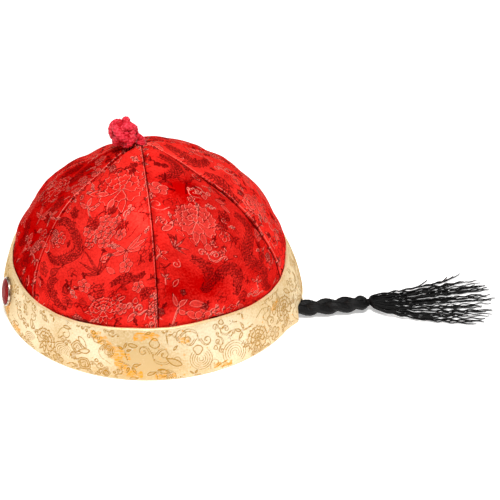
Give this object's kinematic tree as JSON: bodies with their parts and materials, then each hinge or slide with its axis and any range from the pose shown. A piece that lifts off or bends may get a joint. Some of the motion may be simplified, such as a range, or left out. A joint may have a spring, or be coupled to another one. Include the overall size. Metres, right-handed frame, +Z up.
{
  "type": "chinese emperor hat",
  "caption": "Round brocade cap with a panelled crown, upright satin cuff, knotted cord button, a set red stone in front and a plaited yarn queue with tassel behind.",
  "frame": {"origin": "on the surface under the cap, at the middle of the cap's box without the queue", "axes": "+Z up, -Y to the front where the stone is, +Y to the back, +X to the wearer's left"},
  "size_m": [0.1952, 0.3316, 0.1363],
  "materials": {
    "crown_brocade": "satin brocade",
    "cuff_satin": "satin brocade",
    "knot_cord": "silky cord",
    "bezel_metal": "polished",
    "stone_glass": "cut and polished",
    "queue_yarn": "dull yarn"
  },
  "bodies": {
    "root": {"cuff_band": "cuff_satin", "crown_gore_1": "crown_brocade", "crown_gore_2": "crown_brocade", "crown_gore_3": "crown_brocade", "crown_gore_4": "crown_brocade", "crown_gore_5": "crown_brocade", "crown_gore_6": "crown_brocade", "button_knot": "knot_cord", "jewel_setting": "bezel_metal", "jewel_stone": "stone_glass", "queue_braid": "queue_yarn", "queue_tie": "queue_yarn", "queue_tassel": "queue_yarn"}
  },
  "joints": []
}
